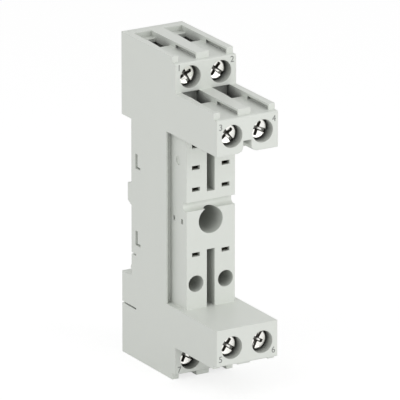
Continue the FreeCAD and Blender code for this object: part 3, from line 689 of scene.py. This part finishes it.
class SOCKET_OT_screws(bpy.types.Operator):
    """Make the eight terminal screws with their driver recess and thread"""

    bl_idname = "socket.screws"
    bl_label = "Terminal screws"

    def execute(self, context):
        finish = context.scene.socket_finish
        sizes = context.scene.socket_screws
        nickel = own_material("Nickel screw", screw_metal, finish)
        for place, turned in SCREW_TURNS.items():
            middle, radius, length = screw_place(place)
            rings = screw_rings(sizes, radius, length)
            mesh = ring_mesh("screw_" + place, rings)
            # Painted shade with grime at each point of the screw, kept as a mesh attribute for the
            # material
            grime = np.append(grime_of(rings, sizes, radius), [1.0, 1.0])
            layer = mesh.attributes.new("grime", "FLOAT", "POINT")
            layer.data.foreach_set("value", grime.astype(np.float32))
            mesh.transform(Matrix.Translation(middle) @ Matrix.Rotation(math.radians(turned), 4, "Y"))
            piece = place_piece("screw_" + place, mesh, "screw_" + place, nickel)
            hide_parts("terminal_screw_" + place)
            dress("terminal_screw_" + place, nickel)
        return {"FINISHED"}


class SOCKET_OT_numbers(bpy.types.Operator):
    """Print a plain number beside each terminal screw"""

    bl_idname = "socket.numbers"
    bl_label = "Terminal numbers"

    def execute(self, context):
        finish = context.scene.socket_finish
        sizes = context.scene.socket_numbers
        ink = own_material("Number ink", plain_ink, finish.number_colour)
        for number, place in enumerate(SCREW_TURNS, start=1):
            head, _, _ = screw_place(place)
            outward = -1.0 if place.endswith("left") else 1.0
            upward = 1.0 if head.z > 0.0 else -1.0
            middle = head + Vector((outward * sizes.aside, -HEAD_SET_BACK, upward * sizes.above))
            mesh = number_mesh(str(number), sizes, middle)
            place_piece("terminal_number_%d" % number, mesh, "socket", ink)
        return {"FINISHED"}


class SOCKET_OT_studio(bpy.types.Operator):
    """Set the camera, the lamps, the sky and the pale floor"""

    bl_idname = "socket.studio"
    bl_label = "Studio"

    def execute(self, context):
        settings = context.scene.socket_studio
        context.scene.view_settings.view_transform = "Standard"
        add_camera(context.scene, settings)
        add_floor(settings)
        set_sky(context.scene, settings)
        target = Vector(settings.target)
        add_lamp("front_lamp", settings.front_power, FRONT_LAMP, target)
        add_lamp("side_lamp", settings.side_power, SIDE_LAMP, target)
        return {"FINISHED"}


def direction(azimuth, elevation):
    """Unit vector from the socket towards an azimuth and elevation in radians."""
    return Vector((
        math.sin(azimuth) * math.cos(elevation),
        -math.cos(azimuth) * math.cos(elevation),
        math.sin(elevation),
    ))


def aim(obj, place, target):
    """Put a camera or lamp at a place, looking at the target with +Z up."""
    forward = (target - place).normalized()
    right = forward.cross(Vector((0.0, 0.0, 1.0))).normalized()
    up = right.cross(forward)
    turn = Matrix((right, up, -forward)).transposed().to_4x4()
    obj.matrix_world = Matrix.Translation(place) @ turn


def add_camera(scene, settings):
    """Long-lens camera at the photograph's angle."""
    camera = bpy.data.cameras.new("camera")
    camera.sensor_width = SENSOR_WIDTH
    camera.lens = settings.focal_pixels / IMAGE_PIXELS * SENSOR_WIDTH
    camera.clip_start = NEAREST_SEEN
    camera.clip_end = FARTHEST_SEEN
    holder = bpy.data.objects.new("camera", camera)
    scene.collection.objects.link(holder)
    target = Vector(settings.target)
    aim(holder, target + settings.distance * direction(settings.azimuth, settings.elevation), target)
    scene.camera = holder


def add_lamp(name, power, where, target):
    """Soft square lamp, from its angles in degrees, distance and width."""
    azimuth, elevation, distance, width = where
    lamp = bpy.data.lights.new(name, "AREA")
    lamp.energy = power
    lamp.shape = "SQUARE"
    lamp.size = width
    holder = bpy.data.objects.new(name, lamp)
    bpy.context.collection.objects.link(holder)
    place = target + distance * direction(math.radians(azimuth), math.radians(elevation))
    aim(holder, place, target)


def seen_directly(tree):
    """1 for camera, glossy and transmission rays, 0 for the rest."""
    path = tree.nodes.new("ShaderNodeLightPath").outputs
    either = worked_out(tree, "MAXIMUM", path["Is Camera Ray"], path["Is Glossy Ray"])
    return worked_out(tree, "MAXIMUM", either, path["Is Transmission Ray"])


def end_tree(tree, kind, lit, seen):
    """Send one shader to the output for the light, and another where it is seen directly."""
    mix = tree.nodes.new("ShaderNodeMixShader")
    out = tree.nodes.new(kind)
    tree.links.new(seen_directly(tree), mix.inputs["Fac"])
    tree.links.new(lit, mix.inputs[1])
    tree.links.new(seen, mix.inputs[2])
    tree.links.new(mix.outputs["Shader"], out.inputs["Surface"])


def grey(level):
    """Grey of a level, as a colour."""
    return (level, level, level, 1.0)


def set_sky(scene, settings):
    """Even white light from all round, and plain white where it is seen."""
    world = bpy.data.worlds.new("sky")
    scene.world = world
    world.use_nodes = True
    tree = world.node_tree
    tree.nodes.clear()
    lit = new_node(tree, "ShaderNodeBackground", Color=WHITE, Strength=settings.sky)
    seen = new_node(tree, "ShaderNodeBackground", Color=WHITE, Strength=1.0)
    end_tree(tree, "ShaderNodeOutputWorld", lit.outputs["Background"], seen.outputs["Background"])


def add_floor(settings):
    """Pale floor that keeps a soft shadow: partly evenly white where it is seen."""
    level = CAD_BOUNDS[0][2]
    half = FLOOR_HALF
    corners = [(-half, -half, level), (half, -half, level), (half, half, level), (-half, half, level)]
    mesh = bpy.data.meshes.new("floor")
    mesh.from_pydata(corners, [], [(0, 1, 2, 3)])
    floor = bpy.data.objects.new("floor", mesh)
    bpy.context.collection.objects.link(floor)
    material = bpy.data.materials.new("Floor paper")
    material.use_nodes = True
    tree = material.node_tree
    tree.nodes.clear()
    paper = new_node(tree, "ShaderNodeBsdfDiffuse", Color=grey(FLOOR_PAPER))
    seen_paper = new_node(tree, "ShaderNodeBsdfDiffuse", Color=grey(FLOOR_SEEN))
    glow = new_node(tree, "ShaderNodeEmission", Color=WHITE, Strength=settings.floor_glow)
    both = tree.nodes.new("ShaderNodeAddShader")
    tree.links.new(seen_paper.outputs["BSDF"], both.inputs[0])
    tree.links.new(glow.outputs["Emission"], both.inputs[1])
    end_tree(tree, "ShaderNodeOutputMaterial", paper.outputs["BSDF"], both.outputs["Shader"])
    mesh.materials.append(material)


class SOCKET_PT_panel(bpy.types.Panel):
    """Panel that lists the socket's steps and settings"""

    bl_idname = "SOCKET_PT_panel"
    bl_label = "Relay Socket"
    bl_space_type = "VIEW_3D"
    bl_region_type = "UI"
    bl_category = "Relay Socket"

    def draw(self, context):
        layout = self.layout
        for step in STEPS:
            layout.operator(step.bl_idname)
        for name, group in SETTINGS.items():
            box = layout.box()
            settings = getattr(context.scene, name)
            for key in group.__annotations__:
                box.prop(settings, key)


SETTINGS = {
    "socket_finish": SocketFinish,
    "socket_screws": ScrewSizes,
    "socket_numbers": NumberSizes,
    "socket_studio": StudioSettings,
}
STEPS = (
    SOCKET_OT_mouldings,
    SOCKET_OT_contacts,
    SOCKET_OT_screws,
    SOCKET_OT_numbers,
    SOCKET_OT_studio,
)


def register():
    """Register the settings, the steps and the panel."""
    for name, group in SETTINGS.items():
        bpy.utils.register_class(group)
        setattr(bpy.types.Scene, name, bpy.props.PointerProperty(type=group))
    for step in STEPS:
        bpy.utils.register_class(step)
    bpy.utils.register_class(SOCKET_PT_panel)


def unregister():
    """Undo register, in the opposite order."""
    bpy.utils.unregister_class(SOCKET_PT_panel)
    for step in reversed(STEPS):
        bpy.utils.unregister_class(step)
    for name, group in reversed(SETTINGS.items()):
        delattr(bpy.types.Scene, name)
        bpy.utils.unregister_class(group)


def main():
    """Run every step in order."""
    register()
    bpy.ops.socket.mouldings()
    bpy.ops.socket.contacts()
    bpy.ops.socket.screws()
    bpy.ops.socket.numbers()
    bpy.ops.socket.studio()


if __name__ == "__main__":
    main()
